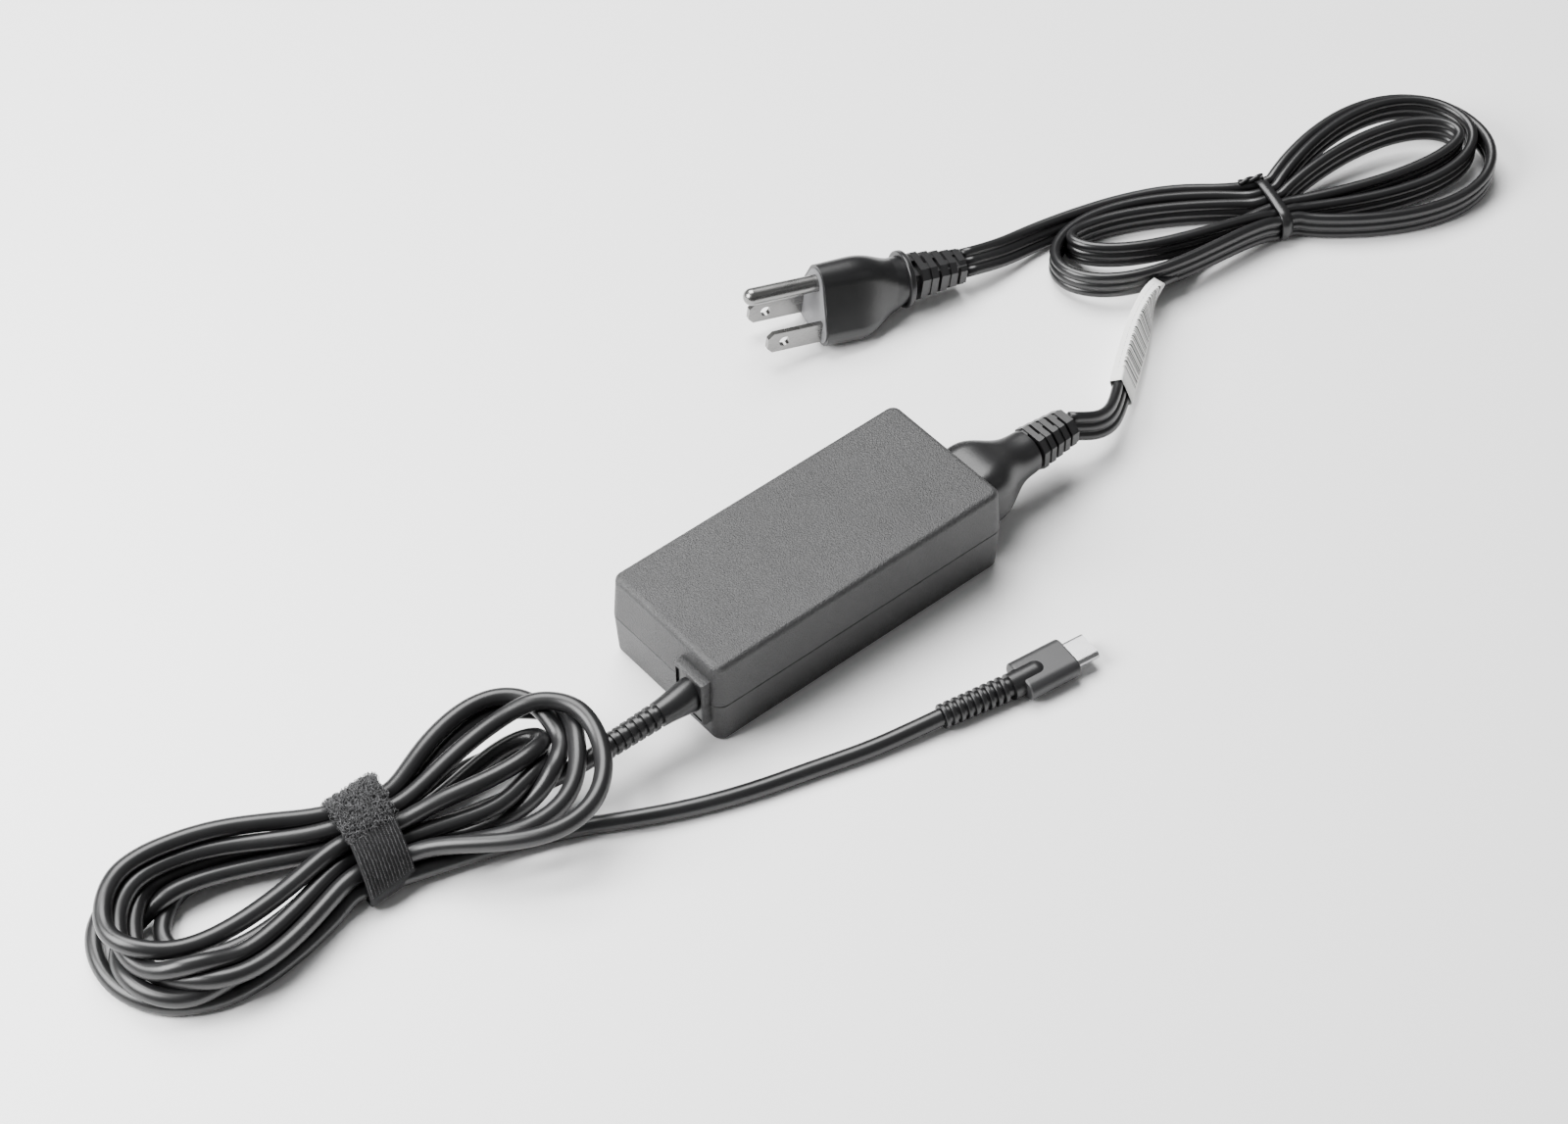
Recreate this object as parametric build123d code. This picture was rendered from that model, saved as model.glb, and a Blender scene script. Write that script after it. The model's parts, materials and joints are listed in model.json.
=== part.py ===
from build123d import *
import os
from math import cos, radians, sin, tan

# Laptop power adapter with its output lead and its mains lead.
# Millimetres, +Z up, standing on z = 0. +X runs along the case towards the mains inlet,
# and the output lead leaves the case on the -X end. The origin is under the middle of the case.

# ---- case
CASE_L = 94.0
CASE_W = 43.0
CASE_H = 27.0
CASE_X = 1.0                 # middle of the case along X
PART_Z = 13.7                # parting line between the two shells
CORNER_R = 3.5
WALL = 2.0
TOP_DRAFT = 4.0              # degrees
BOTTOM_DRAFT = 3.3
TOP_FILLET = 1.7
BOTTOM_FILLET = 1.6
GROOVE = 0.22                # chamfer on each shell along the parting line
LIP_H = 1.4
LIP_T = 0.9
LIP_GAP = 0.1
DC_END = CASE_X - CASE_L / 2
AC_END = CASE_X + CASE_L / 2

# ---- collar and strain relief of the output lead
GLAND_Y = -12.8
GLAND_Z = PART_Z
COLLAR_OUT = 2.0
COLLAR_W = 11.0
COLLAR_LOW = 7.0
COLLAR_HIGH = 21.7
GLAND_W = 8.2
GLAND_H = 11.8
BOOT_TIP = -74.6
RIB_COUNT = 7
RIB_PITCH = 2.3
RIB_T = 1.15
BOOT_CORE_R = 2.5

# ---- output cord and its plug
DC_D = 4.5
USB_AT = (40.0, -57.8, 3.55)
USB_TURN = -7.0              # degrees about Z
USB_SHELL_W = 8.25
USB_SHELL_H = 2.4
USB_BODY_L = 15.0
USB_BODY_W = 11.8
USB_BODY_H = 5.6
NECK_R = 3.5
TONGUE_X = -13.4               # centre of the round end of the neck, on top of the body

# ---- mains inlet and connector
INLET_Y = -5.0
INLET_Z = 13.4
INLET_DEPTH = 13.0
LOBE_R = 4.0
LOBE_DY = 4.3
LOBE_LOW = -2.2
LOBE_HIGH = 3.4
FIT_GAP = 0.4
PIN_R = 1.2

# ---- mains cord, flat, three cores side by side
MAINS_W = 8.2
MAINS_T = 3.0

# ---- mains plug, blades and pin to the usual 15 A pattern
PLUG_AT = (65.7, 75.3, 6.05)
PLUG_TURN = 164.1            # degrees about Z of the blade direction
PLUG_TILT = 6.9              # degrees, blades pointing up
BLADE_SPAN = 12.7
BLADE_W = 6.35
BLADE_T = 1.5
BLADE_L = 16.3
BLADE_HOLE_R = 1.55
EARTH_R = 2.4
EARTH_L = 21.6
EARTH_UP = 11.9
BRIDGE_Y = 0.8                # where the slots of both mains boots stop, off their middle

# ---- hanks
DC_HANK_AT = (-129.5, 4.0, 0.0)
MAINS_HANK_AT = (192.5, 26.0, 0.0)
HANK_TURN = -15.5            # degrees about Z, both hanks
STRAP_W = 14.0
STRAP_T = 1.4
TIE_W = 4.6

# ---- cord routes, from the strain relief outwards
DC_RUN = [
    (BOOT_TIP, GLAND_Y, GLAND_Z),
    (-82.0, -11.3, 11.6),
    (-91.0, -7.8, 8.2),
    (-101.5, -3.9, 5.7),
    (-112.0, -0.6, 4.7),
]
DC_TAIL = [
    (-110.0, -11.6, 3.1),
    (-99.5, -15.2, 2.4),
    (-88.0, -20.3, 2.3),
    (-76.0, -27.0, 2.3),
    (-63.5, -33.3, 2.3),
    (-49.5, -38.6, 2.3),
    (-34.5, -42.8, 2.3),
    (-20.0, -47.1, 2.4),
    (-9.0, -49.6, 3.0),
    (0.0, -51.4, 3.55),
]
MAINS_RUN = [
    (84.5, INLET_Y, INLET_Z),
    (93.5, -5.2, 12.0),
    (103.0, -2.9, 9.3),
    (112.5, 2.3, 7.2),
    (123.0, 9.4, 6.1),
    (134.0, 15.6, 5.0),
    (145.0, 19.9, 4.6),
    (156.0, 23.2, 4.5),
    (166.0, 25.4, 4.4),
]
MAINS_TAIL = [
    (187.6, 37.4, 4.5),
    (176.0, 48.0, 4.4),
    (162.0, 54.4, 4.3),
    (147.0, 58.4, 4.3),
    (134.0, 60.6, 4.5),
    (124.0, 60.8, 5.6),
    (116.5, 61.4, 7.0),
    (109.6, 62.8, 8.0),
]

nodes = {}


# ---- helpers

def keep(name, shape):
    nodes[name] = shape


def box(x0, x1, y0, y1, z0, z1):
    centre = ((x0 + x1) / 2, (y0 + y1) / 2, (z0 + z1) / 2)
    return Pos(*centre) * Box(x1 - x0, y1 - y0, z1 - z0)


def rod_x(x0, x1, y, z, radius):
    return Pos((x0 + x1) / 2, y, z) * Rot(0, 90, 0) * Cylinder(radius, x1 - x0)


def place(at, turn, tilt=0.0):
    return Pos(*at) * Rot(0, 0, turn) * Rot(0, -tilt, 0)


def corner_radii(points):
    """Each arc is as large as the two runs beside it allow."""
    spots = [Vector(*p) for p in points]
    radii = []
    for before, here, after in zip(spots, spots[1:], spots[2:]):
        turn = radians((here - before).get_angle(after - here))
        shorter = min((here - before).length, (after - here).length)
        radii.append(0.45 * shorter / tan(turn / 2))
    return radii


def cord(name, points, section, area):
    """A plain tube of the cord's section along straight runs and tangent arcs."""
    radii = corner_radii(points)
    path = FilletPolyline(*points, radius=radii)
    plane = Plane(origin=path @ 0, x_dir=(0, 0, 1), z_dir=path % 0)
    tube = sweep(plane * section, path=path)
    ratio = tube.volume / (area * path.length)
    rounded = ", ".join(f"{r:.0f}" for r in radii)
    print(f"{name}: length {path.length:.1f} mm, volume ratio {ratio:.3f}, radii {rounded}")
    return tube


def tunnel(points, radius):
    path = FilletPolyline(*points, radius=corner_radii(points))
    plane = Plane(origin=path @ 0, x_dir=(0, 0, 1), z_dir=path % 0)
    return sweep(plane * Circle(radius), path=path)


def hull_of(circles):
    """Outline round a chain of circles given as (x, y, radius)."""
    edges = []
    for x, y, radius in circles:
        edges += (Pos(x, y) * Circle(radius)).edges()
    return make_hull(edges)


# ---- case shells

def case_block(inset, height, draft, up, radius):
    outline = RectangleRounded(CASE_L - 2 * inset, CASE_W - 2 * inset, radius)
    face = Pos(CASE_X, 0, PART_Z) * outline
    return extrude(face, height, dir=(0, 0, 1 if up else -1), taper=draft)


def shell(up):
    height = CASE_H - PART_Z if up else PART_Z
    draft = TOP_DRAFT if up else BOTTOM_DRAFT
    body = case_block(0, height, draft, up, CORNER_R)
    levels = body.edges().group_by(Axis.Z)
    far, near = (levels[-1], levels[0]) if up else (levels[0], levels[-1])
    body = fillet(far, TOP_FILLET if up else BOTTOM_FILLET)
    levels = body.edges().group_by(Axis.Z)
    near = levels[0] if up else levels[-1]
    body = chamfer(near, GROOVE)
    return body - case_block(WALL, height - WALL, draft, up, CORNER_R - WALL)


def ring(inset, thickness, height):
    outer = case_block(inset, height, 0, True, CORNER_R - inset)
    return outer - case_block(inset + thickness, height, 0, True, CORNER_R - inset - thickness + 0.3)


def collar(low, high):
    rim = box(DC_END - COLLAR_OUT, DC_END + 1.2, GLAND_Y - COLLAR_W / 2, GLAND_Y + COLLAR_W / 2, low, high)
    front = rim.faces().sort_by(Axis.X)[0].edges()
    split = [e for e in front if abs(e.center().Z - PART_Z) > 0.1 or abs(e.center().Y - GLAND_Y) > 1]
    return chamfer(split, 0.45)


def gland_opening():
    through = box(DC_END - 5, DC_END + 6, GLAND_Y - GLAND_W / 2 - 0.3, GLAND_Y + GLAND_W / 2 + 0.3,
                  GLAND_Z - GLAND_H / 2 - 0.3, GLAND_Z + GLAND_H / 2 + 0.3)
    step = box(DC_END - 5, DC_END - COLLAR_OUT + 0.7, GLAND_Y - 4.8, GLAND_Y + 4.8,
               GLAND_Z - GLAND_H / 2 - 0.75, GLAND_Z + GLAND_H / 2 + 0.75)
    return through + step


def inlet_opening():
    return box(AC_END - 6, AC_END + 5, INLET_Y - 10.6, INLET_Y + 10.6, INLET_Z - 8.6, INLET_Z + 8.6)


def boss(x, y):
    return Pos(x, y, 3.5) * Cylinder(2.4, 3.4)


def make_shells():
    openings = gland_opening() + inlet_opening()
    top = shell(True) + collar(PART_Z, COLLAR_HIGH)
    top -= ring(WALL - LIP_T - LIP_GAP, LIP_T + 5 * LIP_GAP, LIP_H + LIP_GAP)
    keep("top_cover", top - openings)
    bottom = shell(False) + collar(COLLAR_LOW, PART_Z)
    bottom += ring(WALL - LIP_T, LIP_T, LIP_H)
    for x in (-38.0, 24.0):
        for y in (-15.0, 15.0):
            bottom += boss(x, y)
    keep("bottom_cover", bottom - openings)
    label = Pos(CASE_X, 0, 0.1) * RectangleRounded(66, 30, 1.5)
    recess = extrude(label, 0.15, dir=(0, 0, -1))
    nodes["bottom_cover"] -= recess
    keep("rating_label", extrude(label, 0.1, dir=(0, 0, -1)))


# ---- strain relief of the output lead

def make_dc_strain_relief():
    inner_x = DC_END + 2.9
    front_x = DC_END - COLLAR_OUT + 0.5
    plate = box(front_x, inner_x, GLAND_Y - GLAND_W / 2, GLAND_Y + GLAND_W / 2,
                GLAND_Z - GLAND_H / 2, GLAND_Z + GLAND_H / 2)
    flange = box(inner_x, inner_x + 1.4, GLAND_Y - 5.2, GLAND_Y + 5.2, GLAND_Z - 7.2, GLAND_Z + 7.2)
    stations = [(front_x, 3.95, 5.3), (-50.4, 3.9, 4.35), (-53.8, 3.6, 3.65), (-57.6, 3.3, 3.3)]
    faces = []
    for x, half_y, half_z in stations:
        plane = Plane(origin=(x, GLAND_Y, GLAND_Z), x_dir=(0, -1, 0), z_dir=(-1, 0, 0))
        faces.append(plane * Ellipse(half_y, half_z + 0.001))
    relief = plate + flange + loft(faces)
    relief += rod_x(BOOT_TIP, -57.0, GLAND_Y, GLAND_Z, BOOT_CORE_R)
    for i in range(RIB_COUNT):
        x = -59.0 - i * RIB_PITCH
        relief += rod_x(x - RIB_T, x, GLAND_Y, GLAND_Z, 3.3 - 0.05 * i)
    return relief + rod_x(BOOT_TIP, BOOT_TIP + 1.5, GLAND_Y, GLAND_Z, 2.9)


# ---- mains inlet and the connector in it

def cloverleaf(grow, x0, x1):
    """Three round lobes joined in the middle, from x0 to x1."""
    plane = Plane(origin=(x0, INLET_Y, INLET_Z), x_dir=(0, 1, 0), z_dir=(1, 0, 0))
    face = Pos(0, -0.6) * Rectangle(8.4, 4.4)
    for y, z in lobe_centres():
        face += Pos(y, z) * Circle(LOBE_R + grow)
    return extrude(plane * face, x1 - x0, dir=(1, 0, 0))


def lobe_centres():
    return [(-LOBE_DY, LOBE_LOW), (LOBE_DY, LOBE_LOW), (0, LOBE_HIGH)]


def make_inlet():
    back = AC_END - INLET_DEPTH - 3.0
    housing = box(back, AC_END, INLET_Y - 10.3, INLET_Y + 10.3, INLET_Z - 8.3, INLET_Z + 8.3)
    housing = fillet(housing.edges().filter_by(Axis.X), 1.2)
    housing -= cloverleaf(FIT_GAP, AC_END - INLET_DEPTH, AC_END + 1)
    pins = Part()
    for y, z in lobe_centres():
        x0, x1 = back - 3.0, AC_END - 2.5
        pin = rod_x(x0, x1, INLET_Y + y, INLET_Z + z, PIN_R)
        pin = chamfer(pin.edges().sort_by(Axis.X)[-1], 0.5)
        pins += pin
    keep("ac_inlet_housing", housing - pins)
    keep("inlet_pins", pins)


def connector_station(x, width, height, radius):
    plane = Plane(origin=(x, INLET_Y, INLET_Z), x_dir=(0, 1, 0), z_dir=(1, 0, 0))
    return plane * RectangleRounded(width, height, radius)


def hex_segment(x0, x1, width, height):
    plane = Plane(origin=(x0, INLET_Y, INLET_Z), x_dir=(0, 1, 0), z_dir=(1, 0, 0))
    face = chamfer(Rectangle(width, height).vertices(), 2.6)
    return extrude(plane * face, x1 - x0, dir=(1, 0, 0))


def make_connector():
    start = AC_END + 0.6
    shape = [(start, 20.4, 18.2, 5.5), (start + 5.5, 20.6, 18.4, 6.0), (58.5, 18.4, 16.4, 6.4),
             (63.0, 14.2, 13.2, 6.0), (67.5, 12.0, 11.6, 5.4), (70.6, 11.4, 11.2, 5.2)]
    body = loft([connector_station(*s) for s in shape])
    body += hex_segment(70.3, 83.0, 8.4, 7.2)
    for i in range(5):
        x = 71.6 + 2.6 * i
        size = 11.6 - 0.35 * i
        body += hex_segment(x, x + 1.7, size, size - 1.0)
        # each slot opens to one side only, turn and turn about
        sides = sorted((INLET_Y + BRIDGE_Y * (-1) ** i, INLET_Y + 9 * (-1) ** i))
        closed = box(60, 90, *sides, INLET_Z - 9, INLET_Z + 9)
        body += hex_segment(x - 1.1, x + 0.1, size - 0.7, size - 1.7) & closed
    body += hex_segment(82.5, 84.5, 9.8, 8.8)
    insert = cloverleaf(0, AC_END - INLET_DEPTH + 0.8, start)
    insert += box(start, start + 7.0, INLET_Y - 6.8, INLET_Y + 6.8, INLET_Z - 5.2, INLET_Z + 6.2)
    contacts = Part()
    bores = Part()
    for y, z in lobe_centres():
        x0, x1 = AC_END - INLET_DEPTH + 1.2, start + 3.0
        sleeve = rod_x(x0, x1, INLET_Y + y, INLET_Z + z, 2.0)
        bores += rod_x(x0 - 1, x1, INLET_Y + y, INLET_Z + z, 2.0)
        contacts += sleeve - rod_x(x0 - 1, x1 - 1.5, INLET_Y + y, INLET_Z + z, 1.5)
    keep("connector_body", body - insert)
    keep("connector_insert", insert - bores)
    keep("connector_contacts", contacts)


# ---- mains plug, built along +X from its face and then turned into place

def plug_section(t, half, low, high, top_half):
    """Outline of the plug body at a distance t behind its face."""
    lower = half * 0.42
    face = hull_of([
        (half - lower, low + lower, lower), (lower - half, low + lower, lower),
        (0, high - top_half, top_half),
    ])
    plane = Plane(origin=(-t, 0, 0), x_dir=(0, 1, 0), z_dir=(1, 0, 0))
    return plane * face


def plug_round(t, radius, z):
    plane = Plane(origin=(-t, 0, z), x_dir=(0, 1, 0), z_dir=(1, 0, 0))
    return plane * Circle(radius)


def boot_segment(x0, x1, width, height):
    segment = box(x0, x1, -width / 2, width / 2, 6.7 - height / 2, 6.7 + height / 2)
    return chamfer(segment.edges().filter_by(Axis.X), 2.2)


def make_plug():
    front = loft([plug_section(0, 10.6, -4.3, 16.8, 5.4),
                  plug_section(9.0, 10.9, -4.5, 17.0, 5.8)], ruled=True)
    taper = loft([plug_section(*s) for s in [
        (9.0, 10.9, -4.5, 17.0, 5.8), (12.5, 10.7, -4.3, 16.8, 5.8), (16.0, 9.5, -3.1, 15.9, 5.7),
        (19.5, 7.6, -1.3, 14.4, 5.6), (22.5, 6.4, -0.2, 13.4, 5.6)]])
    neck = loft([plug_section(22.5, 6.4, -0.2, 13.4, 5.6), plug_round(25.5, 6.7, 6.5)])
    flange = Pos(-26.3, 0, 6.5) * Rot(0, 90, 0) * Cylinder(8.0, 1.7)
    flange = fillet(flange.edges().filter_by(GeomType.CIRCLE), 0.5)
    body = front + taper + neck + flange
    body += box(-44.0, -27.0, -3.6, 3.6, 3.3, 10.1)
    for i in range(5):
        t = 29.6 + 3.1 * i
        width, height = 12.0 - 0.7 * i, 10.6 - 0.5 * i
        body += boot_segment(-t - 2.0, -t, width, height)
        sides = sorted((-BRIDGE_Y * (-1) ** i, -9 * (-1) ** i))
        closed = box(-60, 0, *sides, -9, 20)
        body += boot_segment(-t - 0.1, -t + 1.3, width - 0.7, height - 0.7) & closed
    insert = extrude(plug_section(10.0, 9.7, -3.6, 15.8, 4.4), 10.3, dir=(1, 0, 0))
    blades = Part()
    for side in (-1, 1):
        y = side * BLADE_SPAN / 2
        blade = box(-7.0, BLADE_L, y - BLADE_T / 2, y + BLADE_T / 2, -BLADE_W / 2, BLADE_W / 2)
        tip = blade.faces().sort_by(Axis.X)[-1].edges().filter_by(Axis.Y)
        blade = chamfer(tip, 1.5)
        hole = Pos(BLADE_L - 4.9, y, 0) * Rot(90, 0, 0) * Cylinder(BLADE_HOLE_R, 4)
        blades += blade - hole
    earth = rod_x(0.3, EARTH_L - EARTH_R, 0, EARTH_UP, EARTH_R) + rod_x(-7.0, 0.3, 0, EARTH_UP, EARTH_R - 0.5)
    earth += Pos(EARTH_L - EARTH_R, 0, EARTH_UP) * Sphere(EARTH_R)
    spot = place(PLUG_AT, PLUG_TURN, PLUG_TILT)
    keep("plug_body", spot * (body - insert))
    keep("plug_face", spot * (insert - blades - earth))
    keep("plug_blades", spot * blades)
    keep("plug_earth_pin", spot * earth)


# ---- output plug, built along +X with its front face at x = -3 and then turned into place

def stadium(width, height, x0, x1):
    plane = Plane(origin=(x0, 0, 0), x_dir=(0, 1, 0), z_dir=(1, 0, 0))
    return extrude(plane * SlotOverall(width, height), x1 - x0, dir=(1, 0, 0))


def make_usb_plug():
    front = -3.1
    back = front - USB_BODY_L
    tip = front + 6.6
    shell_part = stadium(USB_SHELL_W, USB_SHELL_H, front - 6.0, tip)
    cavity = stadium(USB_SHELL_W - 0.6, USB_SHELL_H - 0.6, front - 6.0, tip)
    carrier = stadium(USB_SHELL_W - 0.6, USB_SHELL_H - 0.6, front - 6.0, tip - 0.4)
    slot = box(tip - 6.0, tip + 1, -3.35, 3.35, -0.42, 0.42)
    contacts = Part()
    for row in (-1, 1):
        for i in range(12):
            y = (i - 5.5) * 0.5
            contacts += box(tip - 5.2, tip - 1.0, y - 0.13, y + 0.13, row * 0.5 - 0.16, row * 0.5 + 0.16)
    board = box(front - 12.0, front - 6.0, -4.0, 4.0, -0.4, 0.4)
    plane = Plane(origin=(back, 0, 0), x_dir=(0, 1, 0), z_dir=(1, 0, 0))
    body = extrude(plane * RectangleRounded(USB_BODY_W, USB_BODY_H, 2.6), USB_BODY_L, dir=(1, 0, 0))
    ends = body.faces().sort_by(Axis.X)
    body = fillet(ends[0].edges() + ends[-1].edges(), 0.6)
    neck = rod_x(-21.0, TONGUE_X, 0, 0, NECK_R) + Pos(TONGUE_X, 0, 0) * Sphere(NECK_R)
    neck -= box(back + 2.2, TONGUE_X + 5, -5, 5, -4, 2.0)
    body -= neck + board
    spot = place(USB_AT, USB_TURN)
    keep("usb_shell", spot * (shell_part - cavity))
    keep("usb_contact_carrier", spot * (carrier - slot - contacts))
    keep("usb_contacts", spot * contacts)
    keep("usb_board", spot * board)
    keep("usb_overmould", spot * (body - stadium(USB_SHELL_W, USB_SHELL_H, front - 6.0, tip)))
    keep("usb_strain_relief", make_usb_boot() + spot * neck)


def make_usb_boot():
    start, end = Vector(*DC_TAIL[-1]), Vector(19.2, -55.15, 3.55)
    along = (end - start).normalized()
    plane = Plane(origin=start, z_dir=along)
    boot = plane * extrude(Circle(BOOT_CORE_R), (end - start).length)
    for i in range(9):
        rib = Pos(0, 0, 2.1 * i + 0.6) * Cylinder(3.2 + 0.035 * i, 1.2)
        boot += plane * fillet(rib.edges().filter_by(GeomType.CIRCLE), 0.35)
    return boot


# ---- hanks, their ties and the cords' open stretches

def make_dc_hank():
    spot = place(DC_HANK_AT, HANK_TURN)
    waist_z = STRAP_T + 6.25
    waist_plane = Plane(origin=(-11.0, 0, waist_z), x_dir=(0, 1, 0), z_dir=(1, 0, 0))
    waist = extrude(waist_plane * RectangleRounded(23.0, 12.5, 3.0), 22.0, dir=(1, 0, 0))
    left = extrude(hull_of([(-18, 0, 9.8), (-42, 1.5, 12.5), (-51, -8, 19)]), 14.6)
    left -= extrude(hull_of([(-24, -1, 2), (-46, -3, 6.5)]), 20)
    left = fillet(left.edges().group_by(Axis.Z)[-1], 2.0)
    right = extrude(hull_of([(18, 0, 9.8), (36.5, 2.6, 19)]), 21.4)
    right -= extrude(hull_of([(26, 1, 1.5), (40, 5, 5)]), 30)
    top_cut = Pos(8, 0, 14.6) * Rot(0, -9.0, 0) * Pos(40, 0, 15) * Box(120, 80, 30)
    low_cut = Pos(14, 0, 0) * Rot(0, -15.0, 0) * Pos(40, 0, -15) * Box(80, 80, 30)
    right -= top_cut + low_cut
    hank = spot * (waist + left + right)
    hank -= rod_x(BOOT_TIP - 1, -60, GLAND_Y, GLAND_Z, 3.7)
    hank -= tunnel(DC_RUN, DC_D / 2 + 0.5) + tunnel(DC_TAIL[:5], DC_D / 2 + 0.5)
    return hank


def make_strap():
    """Hook-and-loop band round the waist, with its free end lying on top."""
    spot = place(DC_HANK_AT, HANK_TURN)
    plane = Plane(origin=(-STRAP_W / 2, 0, STRAP_T + 6.25), x_dir=(0, 1, 0), z_dir=(1, 0, 0))
    outer = RectangleRounded(23.0 + 2 * STRAP_T, 12.5 + 2 * STRAP_T, 3.0 + STRAP_T)
    band = outer - RectangleRounded(23.0, 12.5, 3.0)
    return spot * extrude(plane * band, STRAP_W, dir=(1, 0, 0))


def make_mains_hank():
    spot = place(MAINS_HANK_AT, HANK_TURN)
    waist = box(-7, 7, -9.6, 9.6, 0.6, 0.6 + MAINS_W)
    left = extrude(hull_of([(-12, 0, 9.2), (-50.5, 2.2, 15.0)]), 9.3)
    left -= extrude(hull_of([(-26, 2, 2), (-48, 2.6, 7.0)]), 20)
    right = extrude(hull_of([(12, 0, 9.2), (47.5, -0.8, 22.4)]), 12.0)
    right -= extrude(hull_of([(26, 1, 2), (48, 1.5, 9.0)]), 20)
    right -= Pos(6, 0, 9.6) * Rot(0, -3.4, 0) * Pos(45, 0, 10) * Box(110, 80, 20)
    return spot * (waist + left + right)


def make_twist_tie():
    spot = place(MAINS_HANK_AT, HANK_TURN)
    plane = Plane(origin=(-TIE_W / 2, 0, 0.6 + MAINS_W / 2), x_dir=(0, 1, 0), z_dir=(1, 0, 0))
    band = RectangleRounded(20.4, MAINS_W + 1.2, 1.6) - Rectangle(19.2, MAINS_W)
    tie = extrude(plane * band, TIE_W, dir=(1, 0, 0))
    twist = Pos(-4.0, 8.0, 10.33) * Rot(0, 90, 0) * Cylinder(1.0, 12.0)
    return spot * (tie + twist)


def make_cords():
    dc_area = 3.1416 * DC_D ** 2 / 4
    run = cord("dc_cord_run", DC_RUN, Circle(DC_D / 2), dc_area)
    tail = cord("dc_cord_tail", DC_TAIL, Circle(DC_D / 2), dc_area)
    keep("dc_cord_run", run - nodes["dc_strain_relief"])
    keep("dc_cord_tail", tail - nodes["usb_strain_relief"])
    keep("dc_hank", make_dc_hank())
    keep("cable_strap", make_strap())
    flat = RectangleRounded(MAINS_W, MAINS_T, 1.45)
    flat_area = flat.area
    run = cord("mains_cord_run", MAINS_RUN, flat, flat_area)
    tail = cord("mains_cord_tail", MAINS_TAIL, flat, flat_area)
    keep("mains_cord_run", run - nodes["connector_body"])
    keep("mains_cord_tail", tail - nodes["plug_body"])
    keep("mains_hank", make_mains_hank() - run - tail)
    keep("twist_tie", make_twist_tie())


# ---- inside of the case

def drum(x, y, z, radius, length):
    return Pos(x, y, z) * Rot(0, 90, 0) * Cylinder(radius, length)


def make_board():
    board = box(-41.2, 27.5, -18.0, 18.0, 5.2, 6.8)
    for x in (-38.0, 24.0):
        for y in (-15.0, 15.0):
            board -= Pos(x, y, 6) * Cylinder(1.1, 4)
    keep("circuit_board", board)
    keep("insulating_sheet", box(-41.0, 27.0, -12.0, 12.0, 2.4, 2.8))


def make_transformer():
    """Two E cores with a vertical middle leg, a coil former round it and the windings on that."""
    core = box(-19.0, -3.0, -11.0, 11.0, 8.0, 22.4) - box(-20.0, -2.0, -7.8, 7.8, 10.6, 19.8)
    core += box(-19.0, -3.0, -3.0, 3.0, 10.0, 20.4)
    former = box(-20.2, -1.8, -4.2, 4.2, 10.8, 19.6) - box(-19.1, -2.9, -3.1, 3.1, 9.9, 20.5)
    winding = box(-23.2, 1.2, -7.2, 7.2, 11.2, 19.2) - box(-20.3, -1.7, -4.3, 4.3, 10, 21)
    winding = fillet(winding.edges().filter_by(Axis.Z).group_by(SortBy.DISTANCE)[-1], 2.0)
    keep("transformer_core", core)
    keep("transformer_base", box(-23.0, 1.0, -7.4, 7.4, 6.8, 8.0))
    keep("transformer_bobbin", former)
    keep("transformer_winding", winding)
    keep("thermal_pad", box(-18.0, -4.0, -9.0, 9.0, 22.4, 23.6))


def make_choke():
    ring_part = Pos(20.0, 9.0, 15.1) * Rot(90, 0, 0) * (Cylinder(7.4, 5.0) - Cylinder(3.6, 5.0))
    turns = Part()
    for i in range(8):
        angle = 45.0 * i + 22.5
        lump = Pos(5.5 * cos(radians(angle)), 5.5 * sin(radians(angle)), 0) * Rot(0, 0, angle)
        coil = Box(5.4, 1.5, 6.6) - Box(4.2, 2.0, 5.1)
        turns += Pos(20.0, 9.0, 15.1) * Rot(90, 0, 0) * lump * coil
    keep("choke_core", ring_part)
    keep("choke_winding", turns)


def make_power_parts():
    keep("bulk_capacitor", drum(12.0, -9.0, 14.9, 8.0, 20.0) + box(22.0, 23.2, -9.6, -8.4, 6.8, 14.0))
    keep("line_capacitor", box(2.0, 11.6, 0.4, 7.0, 6.8, 16.0))
    keep("fuse", Pos(24.4, 3.0, 10.0) * Cylinder(2.0, 6.4))
    keep("bridge_rectifier", box(2.0, 11.4, 8.4, 11.0, 6.8, 16.0))
    keep("primary_heatsink", box(-30.0, 10.0, 15.8, 17.2, 6.8, 20.0) + box(-30.0, 10.0, 14.0, 15.8, 18.6, 20.0))
    keep("power_transistor", box(-8.0, 2.0, 12.2, 15.8, 7.2, 17.4))
    keep("suppression_capacitor", Pos(-24.2, -13.5, 10.3) * Rot(90, 0, 0) * Cylinder(3.4, 2.6))
    keep("opto_coupler", box(-29.5, -25.0, -4.0, 2.4, 6.8, 10.2))
    keep("output_inductor", Pos(-29.0, 8.5, 10.6) * (Cylinder(4.6, 7.6) - Cylinder(1.6, 7.6)))
    capacitors = Part()
    for x, y in ((-37.2, 8.6), (-34.6, -2.0)):
        capacitors += Pos(x, y, 12.8) * Cylinder(3.9 if y < 0 else 3.4, 12.0)
    keep("output_capacitors", capacitors)
    chips = Part()
    for x, y, size in ((-12.0, -15.4, 5.0), (-4.0, -15.4, 4.0), (-30.6, -9.6, 4.6)):
        chips += box(x - size / 2, x + size / 2, y - 2.0, y + 2.0, 6.8, 8.2)
    keep("controller_chips", chips)


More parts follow.
